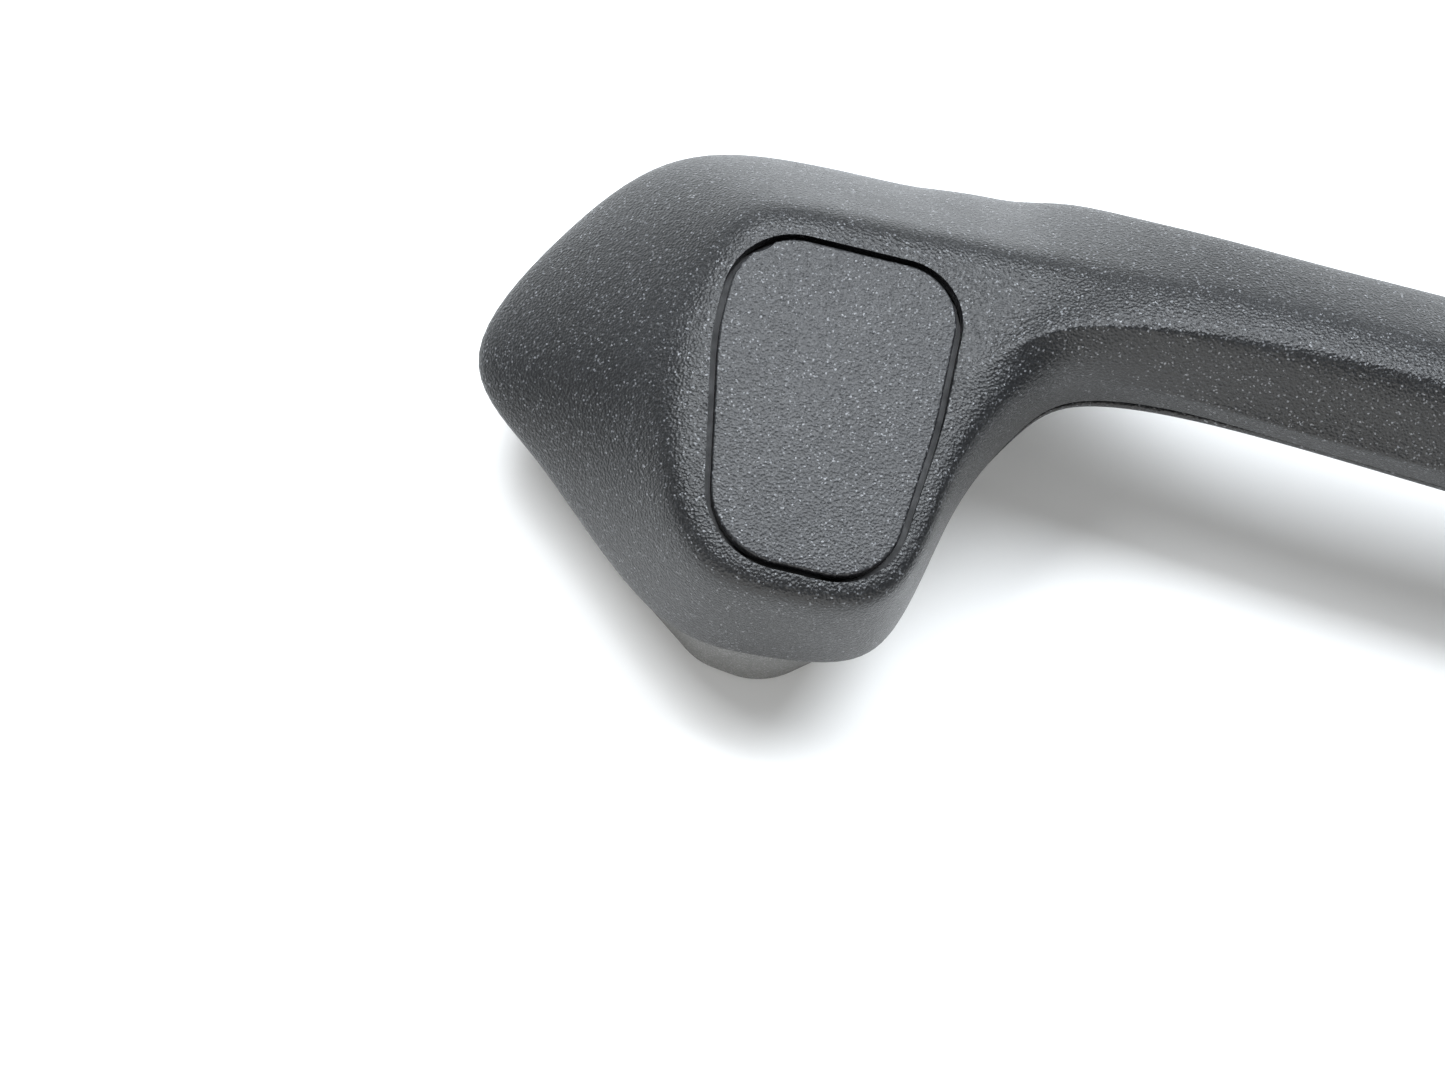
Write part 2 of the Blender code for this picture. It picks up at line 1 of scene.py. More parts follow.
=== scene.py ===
"""The door pull handle as a photographed object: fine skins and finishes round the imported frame, on a pale floor.

Lengths are in millimetres in the tables, and mm() turns them into metres. The pad's own coordinates are u towards
the middle of the handle, v across it and z away from the door.
"""

import bmesh
import bpy
import math
from mathutils import Matrix, Vector


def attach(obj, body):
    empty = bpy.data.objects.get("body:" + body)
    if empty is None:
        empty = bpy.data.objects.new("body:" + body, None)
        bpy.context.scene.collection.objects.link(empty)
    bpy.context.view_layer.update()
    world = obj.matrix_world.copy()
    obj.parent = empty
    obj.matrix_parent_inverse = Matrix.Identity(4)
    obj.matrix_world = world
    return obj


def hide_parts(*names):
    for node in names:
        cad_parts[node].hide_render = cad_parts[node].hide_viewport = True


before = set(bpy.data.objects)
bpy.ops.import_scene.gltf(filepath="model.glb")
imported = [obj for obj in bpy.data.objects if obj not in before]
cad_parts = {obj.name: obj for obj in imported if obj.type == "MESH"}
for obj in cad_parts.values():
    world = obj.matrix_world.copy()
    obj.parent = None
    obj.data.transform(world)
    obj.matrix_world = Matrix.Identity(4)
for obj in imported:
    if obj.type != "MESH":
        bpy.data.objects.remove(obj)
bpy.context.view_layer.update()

# Pad and shell
PAD_X = 97.5
PAD_Y = -7.7
RIM_Z = 18.0
FRONT_Z = 40.0
WALL = 2.2
CREST_REACH = 4.6  # how far either side of a crest the cage's next lines lie
CREST_CUT = 0.5  # how far a crest's corner is cut in
LIP = 1.5  # the upright rim at a back edge
FULL_RISE = 6.0  # the front's rise at which a row counts as all grip
SKIN_LEVELS = 3  # subdivision of the skins
FIT_ROUNDS = 30  # of fitting a smoothed line to its points
ARC_STEPS = 14  # points round each rounded corner

# Grip's rear half
GRIP_BACK_Z = 34.0
PARTING_GAP = 0.5
STEEP_PARTING_GAP = 1.6  # where the parting line slopes down to the pads
BACK_LIP = 1.6
BACK_BULGE = 1.8
BACK_WALL = 1.8
BACK_SEAT_Z = 33.2
BACK_BELOW_Z = 26.0  # a height under the whole rear half
CORE_MIDDLE_V = 26.0
GRIP_SCREW_X = (-42.0, -16.0, 16.0, 42.0)
SCREW_HEAD_R = 3.4
SCREW_HOLE_R = 1.9
BOSS_R = 4.8

# Base and spigot
BASE_Z = 17.4
BASE_THICK = 2.8
BASE_END_U = 21.2
BASE_CLEAR = 2.5  # the height over the back edge up to which the plate clears the shell's leaning wall
BASE_PLAY = 0.9
BASE_SCREWS = ((-30.5, 5.0), (15.5, 28.2))
SPIGOT_DRAFT = 0.6
SOCKET_R = 9.0
SOCKET_DEPTH = 12.0
LEDGE_HOLE_R = 4.6
SLEEVE_R = 6.0
SLEEVE_PLAY = 0.3
TOWER_WALL = 2.2
TOWER_TOP_Z = 25.8
BOLT_U, BOLT_V = -3.0, -3.0

# Screw cover
COVER_GAP = 0.85
COVER_THICK = 2.2
COVER_SINK = 0.05  # how far its rim lies below the pad's face
COVER_ROUND = 0.35  # radius of its rim
COVER_CROWN = 0.22  # rise of its middle
POCKET_ROUND = 0.3  # radius of the opening's rim in the shell
LEG_THICK, LEG_WIDE, LEG_LONG = 1.4, 6.0, 4.5
BARB_THICK, BARB_HIGH = 0.9, 0.8
COVER_LEGS = ((-14.7, 9.0, -1), (-11.2, -9.0, -1), (11.9, 9.0, 1), (11.9, -9.0, 1))
PRY_NOTCH = (-14.6, 19.05)
PRY_NOTCH_TURN = -38  # degrees, along the cover's rounded corner
PRY_NOTCH_RADII = (2.1, 0.85, 1.3)

SMOOTH_ANGLE = 35  # degrees, above which an edge stays sharp
SKIN_SMOOTH_ANGLE = 38
BASE_SMOOTH_ANGLE = 32

COVER_CORNERS = [
    (13.5, 22.9, 8.4),
    (-17.6, 21.5, 9.4),
    (-17.4, 6.0, 40.0),
    (-10.6, -23.7, 10.8),
    (13.5, -22.4, 9.2),
    (14.7, 1.0, 70.0),
]
SPIGOT_CORNERS = [
    (12.5, 15.0, 8.0),
    (-21.0, 15.0, 8.0),
    (-24.6, -17.3, 3.5),
    (-7.5, -28.8, 10.0),
    (2.4, -29.5, 11.0),
    (10.8, -22.0, 9.0),
]
# The end of a pad, from its top round the nose to its bottom: the crest of the front face and the back edge
PAD_END = [
    ((-9.2, 25.8), (-15.6, 40.9)),
    ((-16.4, 22.8), (-31.0, 35.4)),
    ((-19.6, 14.5), (-42.4, 20.0)),
    ((-20.4, 3.6), (-48.2, 0.8)),
    ((-19.4, -8.0), (-37.8, -10.6)),
    ((-15.8, -18.8), (-25.4, -20.6)),
    ((-9.0, -25.8), (-12.4, -28.9)),
]
# From a pad's middle to the grip's middle: the front's centre, lower crest, lower edge, upper crest, upper edge,
# the front's height above the pad's face, and the back edge's height as a share of the way up to the parting line
STATIONS = [
    ((0.0, 0.0), (0.0, -27.0), (0.0, -29.7), (0.0, 26.6), (0.0, 42.2), 0.0, 0.0),
    ((5.0, 0.0), (10.2, -25.2), (11.8, -27.0), (6.5, 27.2), (6.5, 43.0), 0.0, 0.0),
    ((9.0, 2.0), (16.2, -18.6), (17.4, -19.8), (12.5, 27.7), (12.5, 43.9), 0.0, 0.0),
    ((12.0, 5.0), (18.2, -7.4), (19.8, -8.0), (18.0, 28.1), (18.0, 44.6), 0.0, 0.0),
    ((15.0, 9.0), (20.6, 2.2), (22.2, 1.6), (24.0, 28.5), (24.0, 45.2), 0.2, 0.14),
    ((19.5, 14.0), (25.2, 11.0), (26.8, 10.4), (30.0, 28.8), (30.0, 44.6), 1.0, 0.34),
    ((27.5, 19.5), (31.5, 16.0), (32.8, 14.6), (37.0, 29.1), (37.0, 43.0), 2.5, 0.62),
    ((42.0, 22.5), (44.0, 17.6), (45.0, 15.6), (47.0, 29.2), (47.0, 41.6), 4.6, 0.88),
    ((60.0, 23.6), (61.0, 17.6), (61.0, 15.2), (62.0, 29.2), (62.0, 41.2), 6.5, 0.98),
    ((79.0, 24.0), (79.0, 17.4), (79.0, 15.0), (79.5, 29.2), (79.5, 41.6), 7.6, 1.0),
    ((97.5, 24.0), (97.5, 17.3), (97.5, 14.9), (97.5, 29.2), (97.5, 41.8), 8.0, 1.0),
]


def mm(*values):
    return Vector([v / 1000 for v in values])


def place(side, u, v, z):
    """A point given about a pad's centre, in metres. Side is -1 for the left pad and 1 for the right."""
    return mm(side * (PAD_X - u), PAD_Y + v, z)


# Finishes


class Finish:
    """A node material under construction, with short ways to add and join nodes."""

    def __init__(self, name):
        self.material = bpy.data.materials.new(name)
        self.material.use_nodes = True
        self.tree = self.material.node_tree
        self.shader = self.tree.nodes["Principled BSDF"]
        self.where = self.tree.nodes.new("ShaderNodeTexCoord").outputs["Object"]

    def node(self, kind, **values):
        made = self.tree.nodes.new(kind)
        for key, value in values.items():
            if key in made.inputs:
                made.inputs[key].default_value = value
            else:
                setattr(made, key, value)
        return made

    def join(self, source, target):
        self.tree.links.new(source, target)

    def noise(self, cell_mm, detail=2.0, rough=0.5):
        made = self.node("ShaderNodeTexNoise", Scale=1000.0 / cell_mm, Detail=detail, Roughness=rough)
        self.join(self.where, made.inputs["Vector"])
        return made.outputs["Fac"]

    def cells(self, cell_mm):
        made = self.node("ShaderNodeTexVoronoi", Scale=1000.0 / cell_mm)
        self.join(self.where, made.inputs["Vector"])
        return made

    def spread(self, source, low, high, from_low=0.3, from_high=0.7):
        """Turns a 0 to 1 pattern into values between low and high."""
        made = self.node("ShaderNodeMapRange")
        for key, value in (("From Min", from_low), ("From Max", from_high), ("To Min", low), ("To Max", high)):
            made.inputs[key].default_value = value
        self.join(source, made.inputs["Value"])
        return made.outputs["Result"]

    def maths(self, operation, a, b):
        made = self.node("ShaderNodeMath", operation=operation)
        for socket, value in zip(made.inputs, (a, b)):
            if isinstance(value, (int, float)):
                socket.default_value = value
            else:
                self.join(value, socket)
        return made.outputs[0]

    def mix(self, share, a, b):
        made = self.node("ShaderNodeMix", data_type="RGBA")
        self.join(share, made.inputs["Factor"])
        colours = [s for s in made.inputs if s.type == "RGBA"]
        for socket, value in zip(colours, (a, b)):
            if isinstance(value, tuple):
                socket.default_value = (*value, 1.0)
            else:
                self.join(value, socket)
        return next(s for s in made.outputs if s.type == "RGBA")

    def bump(self, height, depth_mm):
        made = self.node("ShaderNodeBump", Strength=1.0, Distance=depth_mm / 1000)
        self.join(height, made.inputs["Height"])
        self.join(made.outputs["Normal"], self.shader.inputs["Normal"])

    def colour(self, source):
        self.join(source, self.shader.inputs["Base Color"])

    def roughness(self, source):
        self.join(source, self.shader.inputs["Roughness"])


PAINTED_GLINT_COLOUR = (0.16, 0.165, 0.175)
PAINTED_GLINT_STRENGTH = 0.9
RAREST_CELLS = 0.94  # only the cells above this share of the pattern get a painted glint


def grained_plastic(name, dark, light, grain_mm, depth_mm, rough, shine=0.5):
    """Black moulded plastic with an eroded grain, a little uneven in tone, with painted highlights on the grain's
    tops and painted glints as sparse light flecks.
    """
    f = Finish(name)
    f.shader.inputs["Specular IOR Level"].default_value = shine
    grain = f.noise(grain_mm, 3.0, 0.6)
    pits = f.cells(grain_mm * 1.3).outputs["Distance"]
    height = f.maths("ADD", f.maths("MULTIPLY", grain, 0.8), f.maths("MULTIPLY", pits, 0.8))
    f.bump(height, depth_mm)
    tone = f.spread(f.noise(14.0, 4.0), 0.0, 1.0)
    patch = f.mix(tone, dark, light)
    # Painted glints: the rarest cells are coloured light grey and made less rough, standing in for light caught by
    # the grain.
    speck = f.node("ShaderNodeSeparateColor")
    f.join(f.cells(grain_mm * 0.7).outputs["Color"], speck.inputs[0])
    painted_glint = f.spread(speck.outputs[0], 0.0, PAINTED_GLINT_STRENGTH, RAREST_CELLS, 1.0)
    # Painted highlight: the grain's raised tops are coloured up to 2.4 times lighter, as if catching the light.
    peaks = f.spread(grain, 0.0, 1.0, 0.53, 0.68)
    grain_tops_painted_lighter = f.mix(peaks, patch, tuple(c * 2.4 for c in light))
    f.colour(f.mix(painted_glint, grain_tops_painted_lighter, PAINTED_GLINT_COLOUR))
    wave = f.spread(f.noise(9.0, 3.0), rough - 0.02, rough + 0.02)
    f.roughness(f.maths("SUBTRACT", wave, f.maths("MULTIPLY", painted_glint, 0.18)))
    return f.material


def plain_nylon(name, dark, light, rough):
    """Smooth moulded nylon for the pieces inside."""
    f = Finish(name)
    f.colour(f.mix(f.spread(f.noise(6.0, 4.0), 0.0, 1.0), dark, light))
    f.roughness(f.spread(f.noise(2.0, 3.0), rough - 0.07, rough + 0.08))
    f.bump(f.noise(0.35, 2.0), 0.012)
    return f.material


def metal(name, dark, light, rough, metallic=1.0):
    """Plated or coated steel: cloudy in tone and roughness, with a fine uneven surface."""
    f = Finish(name)
    f.shader.inputs["Metallic"].default_value = metallic
    cloud = f.spread(f.noise(3.0, 5.0), 0.0, 1.0)
    f.colour(f.mix(cloud, dark, light))
    f.roughness(f.spread(f.noise(1.4, 4.0), rough - 0.08, rough + 0.12))
    f.bump(f.noise(0.25, 4.0, 0.7), 0.01)
    return f.material


GRAINED = grained_plastic(
    "grained_black_plastic", (0.003, 0.0033, 0.0038), (0.0065, 0.007, 0.008), 0.32, 0.125, 0.36, shine=0.4
)
COVER_PLASTIC = grained_plastic(
    "cover_black_plastic", (0.007, 0.0075, 0.0085), (0.012, 0.0125, 0.014), 0.30, 0.10, 0.37, shine=0.36
)
# The base's black plastic is coloured a much lighter grey than the shell's: painted light standing in for the
# floor's bounce light on the spigot.
BASE_PLASTIC_PAINTED_BOUNCE_LIGHT = grained_plastic(
    "base_plastic_painted_bounce_light", (0.062, 0.062, 0.060), (0.090, 0.090, 0.087), 0.28, 0.10, 0.5
)
NYLON = plain_nylon("inner_black_nylon", (0.030, 0.030, 0.031), (0.055, 0.055, 0.057), 0.5)
CORE_STEEL = metal("coated_core_steel", (0.035, 0.035, 0.038), (0.075, 0.075, 0.08), 0.42, metallic=0.6)
ZINC = metal("zinc_plated_steel", (0.42, 0.43, 0.45), (0.62, 0.62, 0.60), 0.3)
DARK_SCREW = metal("black_screw_steel", (0.05, 0.05, 0.055), (0.11, 0.11, 0.115), 0.36, metallic=0.8)


# Building blocks


def add_object(name, mesh, finish=None):
    obj = bpy.data.objects.new(name, mesh)
    bpy.context.scene.collection.objects.link(obj)
    if finish:
        mesh.materials.append(finish)
    return obj


def finished_mesh(bm, name, fix_normals=True):
    """Turns a bmesh into a mesh and frees it."""
    if fix_normals:
        bmesh.ops.recalc_face_normals(bm, faces=bm.faces)
    mesh = bpy.data.meshes.new(name)
    bm.to_mesh(mesh)
    bm.free()
    return mesh


def apply_modifiers(obj, smooth_angle=SMOOTH_ANGLE):
    """Turns the object's modifiers into its mesh, smooth but for its real edges."""
    graph = bpy.context.evaluated_depsgraph_get()
    mesh = bpy.data.meshes.new_from_object(obj.evaluated_get(graph))
    old = obj.data
    obj.modifiers.clear()
    obj.data = mesh
    bpy.data.meshes.remove(old)
    mesh.shade_smooth()
    mesh.set_sharp_from_angle(angle=math.radians(smooth_angle))


def modifier(obj, kind, **values):
    """Adds a modifier with its settings."""
    made = obj.modifiers.new(kind.lower(), kind)
    for key, value in values.items():
        setattr(made, key, value)


def cut(obj, other, operation="DIFFERENCE"):
    """Applies a boolean with another object, which is then removed."""
    modifier(obj, "BOOLEAN", object=other, operation=operation, solver="EXACT")
    apply_modifiers(obj)
    bpy.data.objects.remove(other, do_unlink=True)


def rounded_outline(corners, offset=0.0):
    """The points round a polygon whose corners are arcs, pushed outwards by offset. Anticlockwise corners."""
    points = []
    count = len(corners)
    for i, (u, v, radius) in enumerate(corners):
        here = Vector((u, v))
        before = (Vector(corners[i - 1][:2]) - here).normalized()
        after = (Vector(corners[(i + 1) % count][:2]) - here).normalized()
        half = before.angle(after) / 2
        centre = here + (before + after).normalized() * (radius / math.sin(half))
        start = here + before * (radius / math.tan(half)) - centre
        end = here + after * (radius / math.tan(half)) - centre
        for k in range(ARC_STEPS + 1):
            spoke = start.lerp(end, k / ARC_STEPS).normalized()
            points.append(centre + spoke * (radius + offset))
    return points


def stack(name, side, levels, finish=None):
    """A closed solid through level outlines about a pad's centre, each given as (outline, height)."""
    bm = bmesh.new()
    rings = [[bm.verts.new(place(side, p.x, p.y, z)) for p in outline] for outline, z in levels]
    bm.faces.new(rings[0])
    bm.faces.new(rings[-1])
    for near, far in zip(rings, rings[1:]):
        for k in range(len(near)):
            n = (k + 1) % len(near)
            bm.faces.new((near[k], near[n], far[n], far[k]))
    return add_object(name, finished_mesh(bm, name), finish)


def drawn_in(outline, distance):
    """An outline moved towards its middle."""
    middle = sum(outline, Vector((0.0, 0.0))) / len(outline)
    return [p + (middle - p).normalized() * distance for p in outline]


def cylinder(name, foot, radius, height, segments=48):
    """An upright cylinder standing on the point foot."""
    bm = bmesh.new()
    bmesh.ops.create_cone(
        bm, cap_ends=True, segments=segments, radius1=radius / 1000, radius2=radius / 1000, depth=height / 1000
    )
    bmesh.ops.translate(bm, verts=bm.verts, vec=foot + mm(0, 0, height / 2))
    return add_object(name, finished_mesh(bm, name))


def box_solid(name, centre, size, round_mm=0.25):
    """A box with rounded edges."""
    bm = bmesh.new()
    made = bmesh.ops.create_cube(bm, size=1.0)["verts"]
    bmesh.ops.scale(bm, vec=mm(*size), verts=made)
    bmesh.ops.translate(bm, vec=centre, verts=made)
    bmesh.ops.bevel(bm, geom=bm.edges[:], offset=round_mm / 1000, segments=3, profile=0.5, affect="EDGES")
    return add_object(name, finished_mesh(bm, name))


# The outer skins


def back_edge_z(share):
    """The back edge's height, from the pad's rim at 0 to the grip's parting line at 1."""
    return RIM_Z + (GRIP_BACK_Z - RIM_Z) * share


def half_row(centre, crest, edge, front_z, crest_drop, edge_z, belly, cut_in=CREST_CUT):
    """A row of the front skin's cage from its centre line over the crest and down the wall to the back edge."""
    c, k, e = Vector((*centre, front_z)), Vector((*crest, front_z - crest_drop)), Vector((*edge, edge_z + LIP))
    inward = (c - k).normalized()
    down = (e - k).normalized()
    out = Vector((edge[0] - crest[0], edge[1] - crest[1], 0)).normalized() * belly
    return [
        k + inward * CREST_REACH,
        k + (inward + down) * cut_in,
        k + down * CREST_REACH + out * 0.4,
        k.lerp(e, 0.62) + out,
        e,
        Vector((*edge, edge_z)),
    ]


def through(points, free_start=False):
    """Moves a line's control points so that the smoothed line passes through the points given. The line goes on
    mirrored past the middle plane at its last point, and at its first unless that is a free end."""
    controls = [p.copy() for p in points]
    mirror = Vector((-1.0, 1.0, 1.0))
    for _ in range(FIT_ROUNDS):
        before = [controls[1] * mirror, *controls[:-1]]
        after = [*controls[1:], controls[-2] * mirror]
        smooth = [(a + c * 4 + b) / 6 for a, c, b in zip(before, controls, after)]
        controls = [c + (p - s) for c, p, s in zip(controls, points, smooth)]
        if free_start:
            controls[0] = points[0].copy()
    return controls


def front_skin_rows():
    """The rows of one half of the front skin's cage: from the grip's middle along its upper side, round the pad's
    end and back along its lower side. Each row runs from the front's centre line out to the back edge."""
    lower = []
    upper = []
    for centre, lo_crest, lo_edge, up_crest, up_edge, rise, share in STATIONS:
        front_z = FRONT_Z + rise
        edge_z = back_edge_z(share)
        grip = min(1.0, rise / FULL_RISE)
        low_drop, low_cut = 0.2 + 4.0 * grip, CREST_CUT + 1.9 * grip
        lower.append(half_row(centre, lo_crest, lo_edge, front_z, low_drop, edge_z, 0.4 + 0.5 * grip, low_cut))
        upper.append(half_row(centre, up_crest, up_edge, front_z, 0.2 + 0.4 * grip, edge_z, 0.5))
    ends = [half_row((0.0, 0.0), crest, edge, FRONT_Z, 0.2, RIM_Z, 0.6) for crest, edge in PAD_END]
    return [*reversed(upper), *ends, *lower]


def front_skin_mesh():
    """The cage of the front skin, mirrored about the middle plane. The pads' repeated centre points are merged."""
    bm = bmesh.new()
    centres = [Vector((*s[0], FRONT_Z + s[5])) for s in STATIONS]
    spine = [*reversed(centres), *[centres[0]] * len(PAD_END), *centres]
    rows = [[place(-1, *p) for p in row] for row in front_skin_rows()]
    lines = [through(list(line)) for line in zip(*rows)]
    rows = [[place(-1, *middle), *row] for middle, row in zip(spine, zip(*lines))]
    for mirror in (1, -1):
        verts = [[bm.verts.new((p[0] * mirror, p[1], p[2])) for p in row] for row in rows]
        for near, far in zip(verts, verts[1:]):
            for a, b, c, d in zip(near, near[1:], far, far[1:]):
                bm.faces.new((a, b, d, c)[::mirror])
    bmesh.ops.remove_doubles(bm, verts=bm.verts, dist=0.00002)
    bm.normal_update()
    if sum(f.normal.z * f.calc_area() for f in bm.faces) < 0:
        bmesh.ops.reverse_faces(bm, faces=bm.faces)
    return finished_mesh(bm, "grip_shell_skin", fix_normals=False)


def grip_shell():
    """The front skin with its thickness and the two openings, each with a rounded rim."""
    shell = add_object("grip_shell_skin", front_skin_mesh(), GRAINED)
    modifier(shell, "SUBSURF", levels=SKIN_LEVELS, render_levels=SKIN_LEVELS, boundary_smooth="PRESERVE_CORNERS")
    modifier(shell, "SOLIDIFY", thickness=WALL / 1000, offset=-1.0, use_even_offset=True)
    apply_modifiers(shell)
    half = COVER_GAP / 2
    steps = 4  # round the opening's rim
    for side in (-1, 1):
        levels = [(rounded_outline(COVER_CORNERS, half), FRONT_Z - 5.0)]
        for k in range(steps + 1):
            turn = math.radians(k * 90 / steps)
            flare = POCKET_ROUND * (1 - math.cos(turn))
            height = FRONT_Z - POCKET_ROUND * (1 - math.sin(turn))
            levels.append((rounded_outline(COVER_CORNERS, half + flare), height))
        levels.append((rounded_outline(COVER_CORNERS, half + POCKET_ROUND * 1.6), FRONT_Z + 0.6))
        cut(shell, stack("opening_cutter", side, levels))
    apply_modifiers(shell, SKIN_SMOOTH_ANGLE)
    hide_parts("grip_shell")
    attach(shell, "handle")


def back_section(lo_edge, up_edge, share):
    """The closed cross-section of the grip's rear half: a shallow trough with upright lips under the front skin."""
    a, b = Vector(lo_edge), Vector(up_edge)
    top = back_edge_z(share) - (PARTING_GAP if share > 0.9 else STEEP_PARTING_GAP)
    low = top - BACK_LIP
    bulge = BACK_BULGE * min(1.0, share * 1.3)
    wall = BACK_WALL / (b - a).length
    outside = [(0.0, top), (0.0, low), (0.06, low - 0.6 * bulge), (0.22, low - bulge), (0.5, low - 1.12 * bulge)]
    inside = [(0.5, low - bulge + BACK_WALL), (0.24, low - 0.85 * bulge + BACK_WALL)]
    inside += [(wall + 0.03, low + 0.6), (wall, top)]
    section = [(*a.lerp(b, t), z) for t, z in outside]
    section += [(*a.lerp(b, 1.0 - t), z) for t, z in reversed(outside[:-1])]
    section += [(*a.lerp(b, 1.0 - t), z) for t, z in reversed(inside[1:])]
    section += [(*a.lerp(b, t), z) for t, z in inside]
    return section


def back_cover():
    """The grip's rear half: its section swept along the stations, with a seat and a hole for each screw."""
    lead_in = 3  # the station before the rear half's end, which only shapes its lines
    sections = [back_section(lo_edge, up_edge, share) for _, _, lo_edge, _, up_edge, _, share in STATIONS[lead_in:]]
    rows = []
    for side in (-1, 1):
        lines = [through([place(side, *p) for p in line], free_start=True) for line in zip(*sections)]
        points = list(zip(*lines))[1:]
        rows += points if side < 0 else points[-2::-1]
    bm = bmesh.new()
    crease = bm.edges.layers.float.new("crease_edge")
    rings = [[bm.verts.new(p) for p in row] for row in rows]
    for near, far in zip(rings, rings[1:]):
        for k in range(len(near)):
            n = (k + 1) % len(near)
            bm.faces.new((near[k], near[n], far[n], far[k]))
    for end in (rings[0], rings[-1]):
        for edge in bm.faces.new(end).edges:
            edge[crease] = 1.0
    cover = add_object("grip_back_skin", finished_mesh(bm, "grip_back_skin"), GRAINED)
    modifier(cover, "SUBSURF", levels=SKIN_LEVELS, render_levels=SKIN_LEVELS)
    apply_modifiers(cover)
    for x in GRIP_SCREW_X:
        centre_y = PAD_Y + CORE_MIDDLE_V
        cut(cover, cylinder("boss", mm(x, centre_y, 31.4), BOSS_R, 4.0), "UNION")
        recess = mm(x, centre_y, BACK_BELOW_Z)
        cut(cover, cylinder("counterbore", recess, SCREW_HEAD_R, BACK_SEAT_Z - BACK_BELOW_Z))
        cut(cover, cylinder("hole", mm(x, centre_y, 30.0), SCREW_HOLE_R, 12.0))
    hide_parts("grip_back_cover")
    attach(cover, "handle")


# The pieces of one pad


def base_outline():
    """The base plate's outline: the pad's back edge drawn in by the wall, more where the wall leans over it."""
    pairs = [(s[3], s[4]) for s in reversed(STATIONS[:5])] + PAD_END + [(s[1], s[2]) for s in STATIONS[:5]]
    height = FRONT_Z - RIM_Z
    points = []
    for crest, edge in pairs:
        inward = Vector(crest) - Vector(edge)
        run = inward.length
        slope = math.atan2(height, run)
        inset = (WALL + BASE_PLAY) / math.sin(slope) + BASE_CLEAR / math.tan(slope)
        point = Vector(edge) + inward.normalized() * inset
        points.append(Vector((min(point.x, BASE_END_U), point.y)))
    return points


def mounting_base(side, word):
    """The plate that closes a pad's back, its hollow spigot with a rounded foot, and the tower for the sleeve."""
    plate = base_outline()
    low, high = BASE_Z, BASE_Z + BASE_THICK
    levels = [(drawn_in(plate, 0.3), low), (plate, low + 0.3), (plate, high)]
    base = stack(f"{word}_base_and_spigot", side, levels, BASE_PLASTIC_PAINTED_BOUNCE_LIGHT)
    wide = rounded_outline(SPIGOT_CORNERS, 0.3)
    narrow = drawn_in(wide, SPIGOT_DRAFT)
    levels = [(drawn_in(narrow, 0.9), 0.0), (drawn_in(narrow, 0.45), 0.15), (drawn_in(narrow, 0.13), 0.5)]
    levels += [(narrow, 1.0), (wide, RIM_Z - 0.3)]
    cut(base, stack("spigot_body", side, levels), "UNION")
    wide = rounded_outline(SPIGOT_CORNERS, -WALL)
    cut(base, stack("spigot_hollow", side, [(drawn_in(wide, SPIGOT_DRAFT), WALL), (wide, RIM_Z + 4.0)]))
    axis = place(side, BOLT_U, BOLT_V, 0.0)
    cut(base, cylinder("tower", axis + mm(0, 0, 1), SOCKET_R + TOWER_WALL, TOWER_TOP_Z - 1.0, 64), "UNION")
    cut(base, cylinder("socket", axis - mm(0, 0, 2), SOCKET_R, SOCKET_DEPTH + 2.0, 64))
    cut(base, cylinder("ledge_hole", axis, LEDGE_HOLE_R, 20.0))
    ledge_top = axis + mm(0, 0, SOCKET_DEPTH + 1.5)
    cut(base, cylinder("sleeve_bore", ledge_top, SLEEVE_R + SLEEVE_PLAY, 20.0, 64))
    for u, v in BASE_SCREWS:
        seat = place(side, u, v, RIM_Z - 2.0)
        cut(base, cylinder("base_hole", seat, SCREW_HOLE_R, 8.0, 32))
        cut(base, cylinder("base_counterbore", seat, SCREW_HEAD_R, 3.5))
    apply_modifiers(base, BASE_SMOOTH_ANGLE)
    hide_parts(f"{word}_mounting_base")
    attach(base, "handle")


def cover_levels():
    """The cover's outlines from its underside over the rounded rim to the crowned middle."""
    top = FRONT_Z - COVER_SINK
    half = COVER_GAP / 2
    levels = [(rounded_outline(COVER_CORNERS, -half - 0.15), FRONT_Z - COVER_THICK)]
    levels.append((rounded_outline(COVER_CORNERS, -half), FRONT_Z - COVER_THICK + 0.2))
    steps = 6  # round the rim
    for k in range(steps + 1):
        turn = math.radians(k * 90 / steps)
        shrink = COVER_ROUND * (1 - math.cos(turn))
        levels.append((rounded_outline(COVER_CORNERS, -half - shrink), top - COVER_ROUND * (1 - math.sin(turn))))
    rim = rounded_outline(COVER_CORNERS, -half - COVER_ROUND)
    middle = sum(rim, Vector((0.0, 0.0))) / len(rim)
    for share in (0.93, 0.82, 0.66, 0.45, 0.2):
        levels.append(([middle.lerp(p, share) for p in rim], top + COVER_CROWN * (1 - share * share)))
    return levels


def notch_cutter(side):
    """The long ball that scoops the pry notch out of the cover's rim."""
    centre = place(side, *PRY_NOTCH, FRONT_Z - 0.05)
    bm = bmesh.new()
    bmesh.ops.create_uvsphere(bm, u_segments=32, v_segments=16, radius=0.001)
    along = Matrix.Rotation(math.radians(side * PRY_NOTCH_TURN), 3, "Z")
    for vert in bm.verts:
        vert.co = along @ Vector([c * r for c, r in zip(vert.co, PRY_NOTCH_RADII)]) + centre
    return add_object("notch_cutter", finished_mesh(bm, "notch_cutter"))


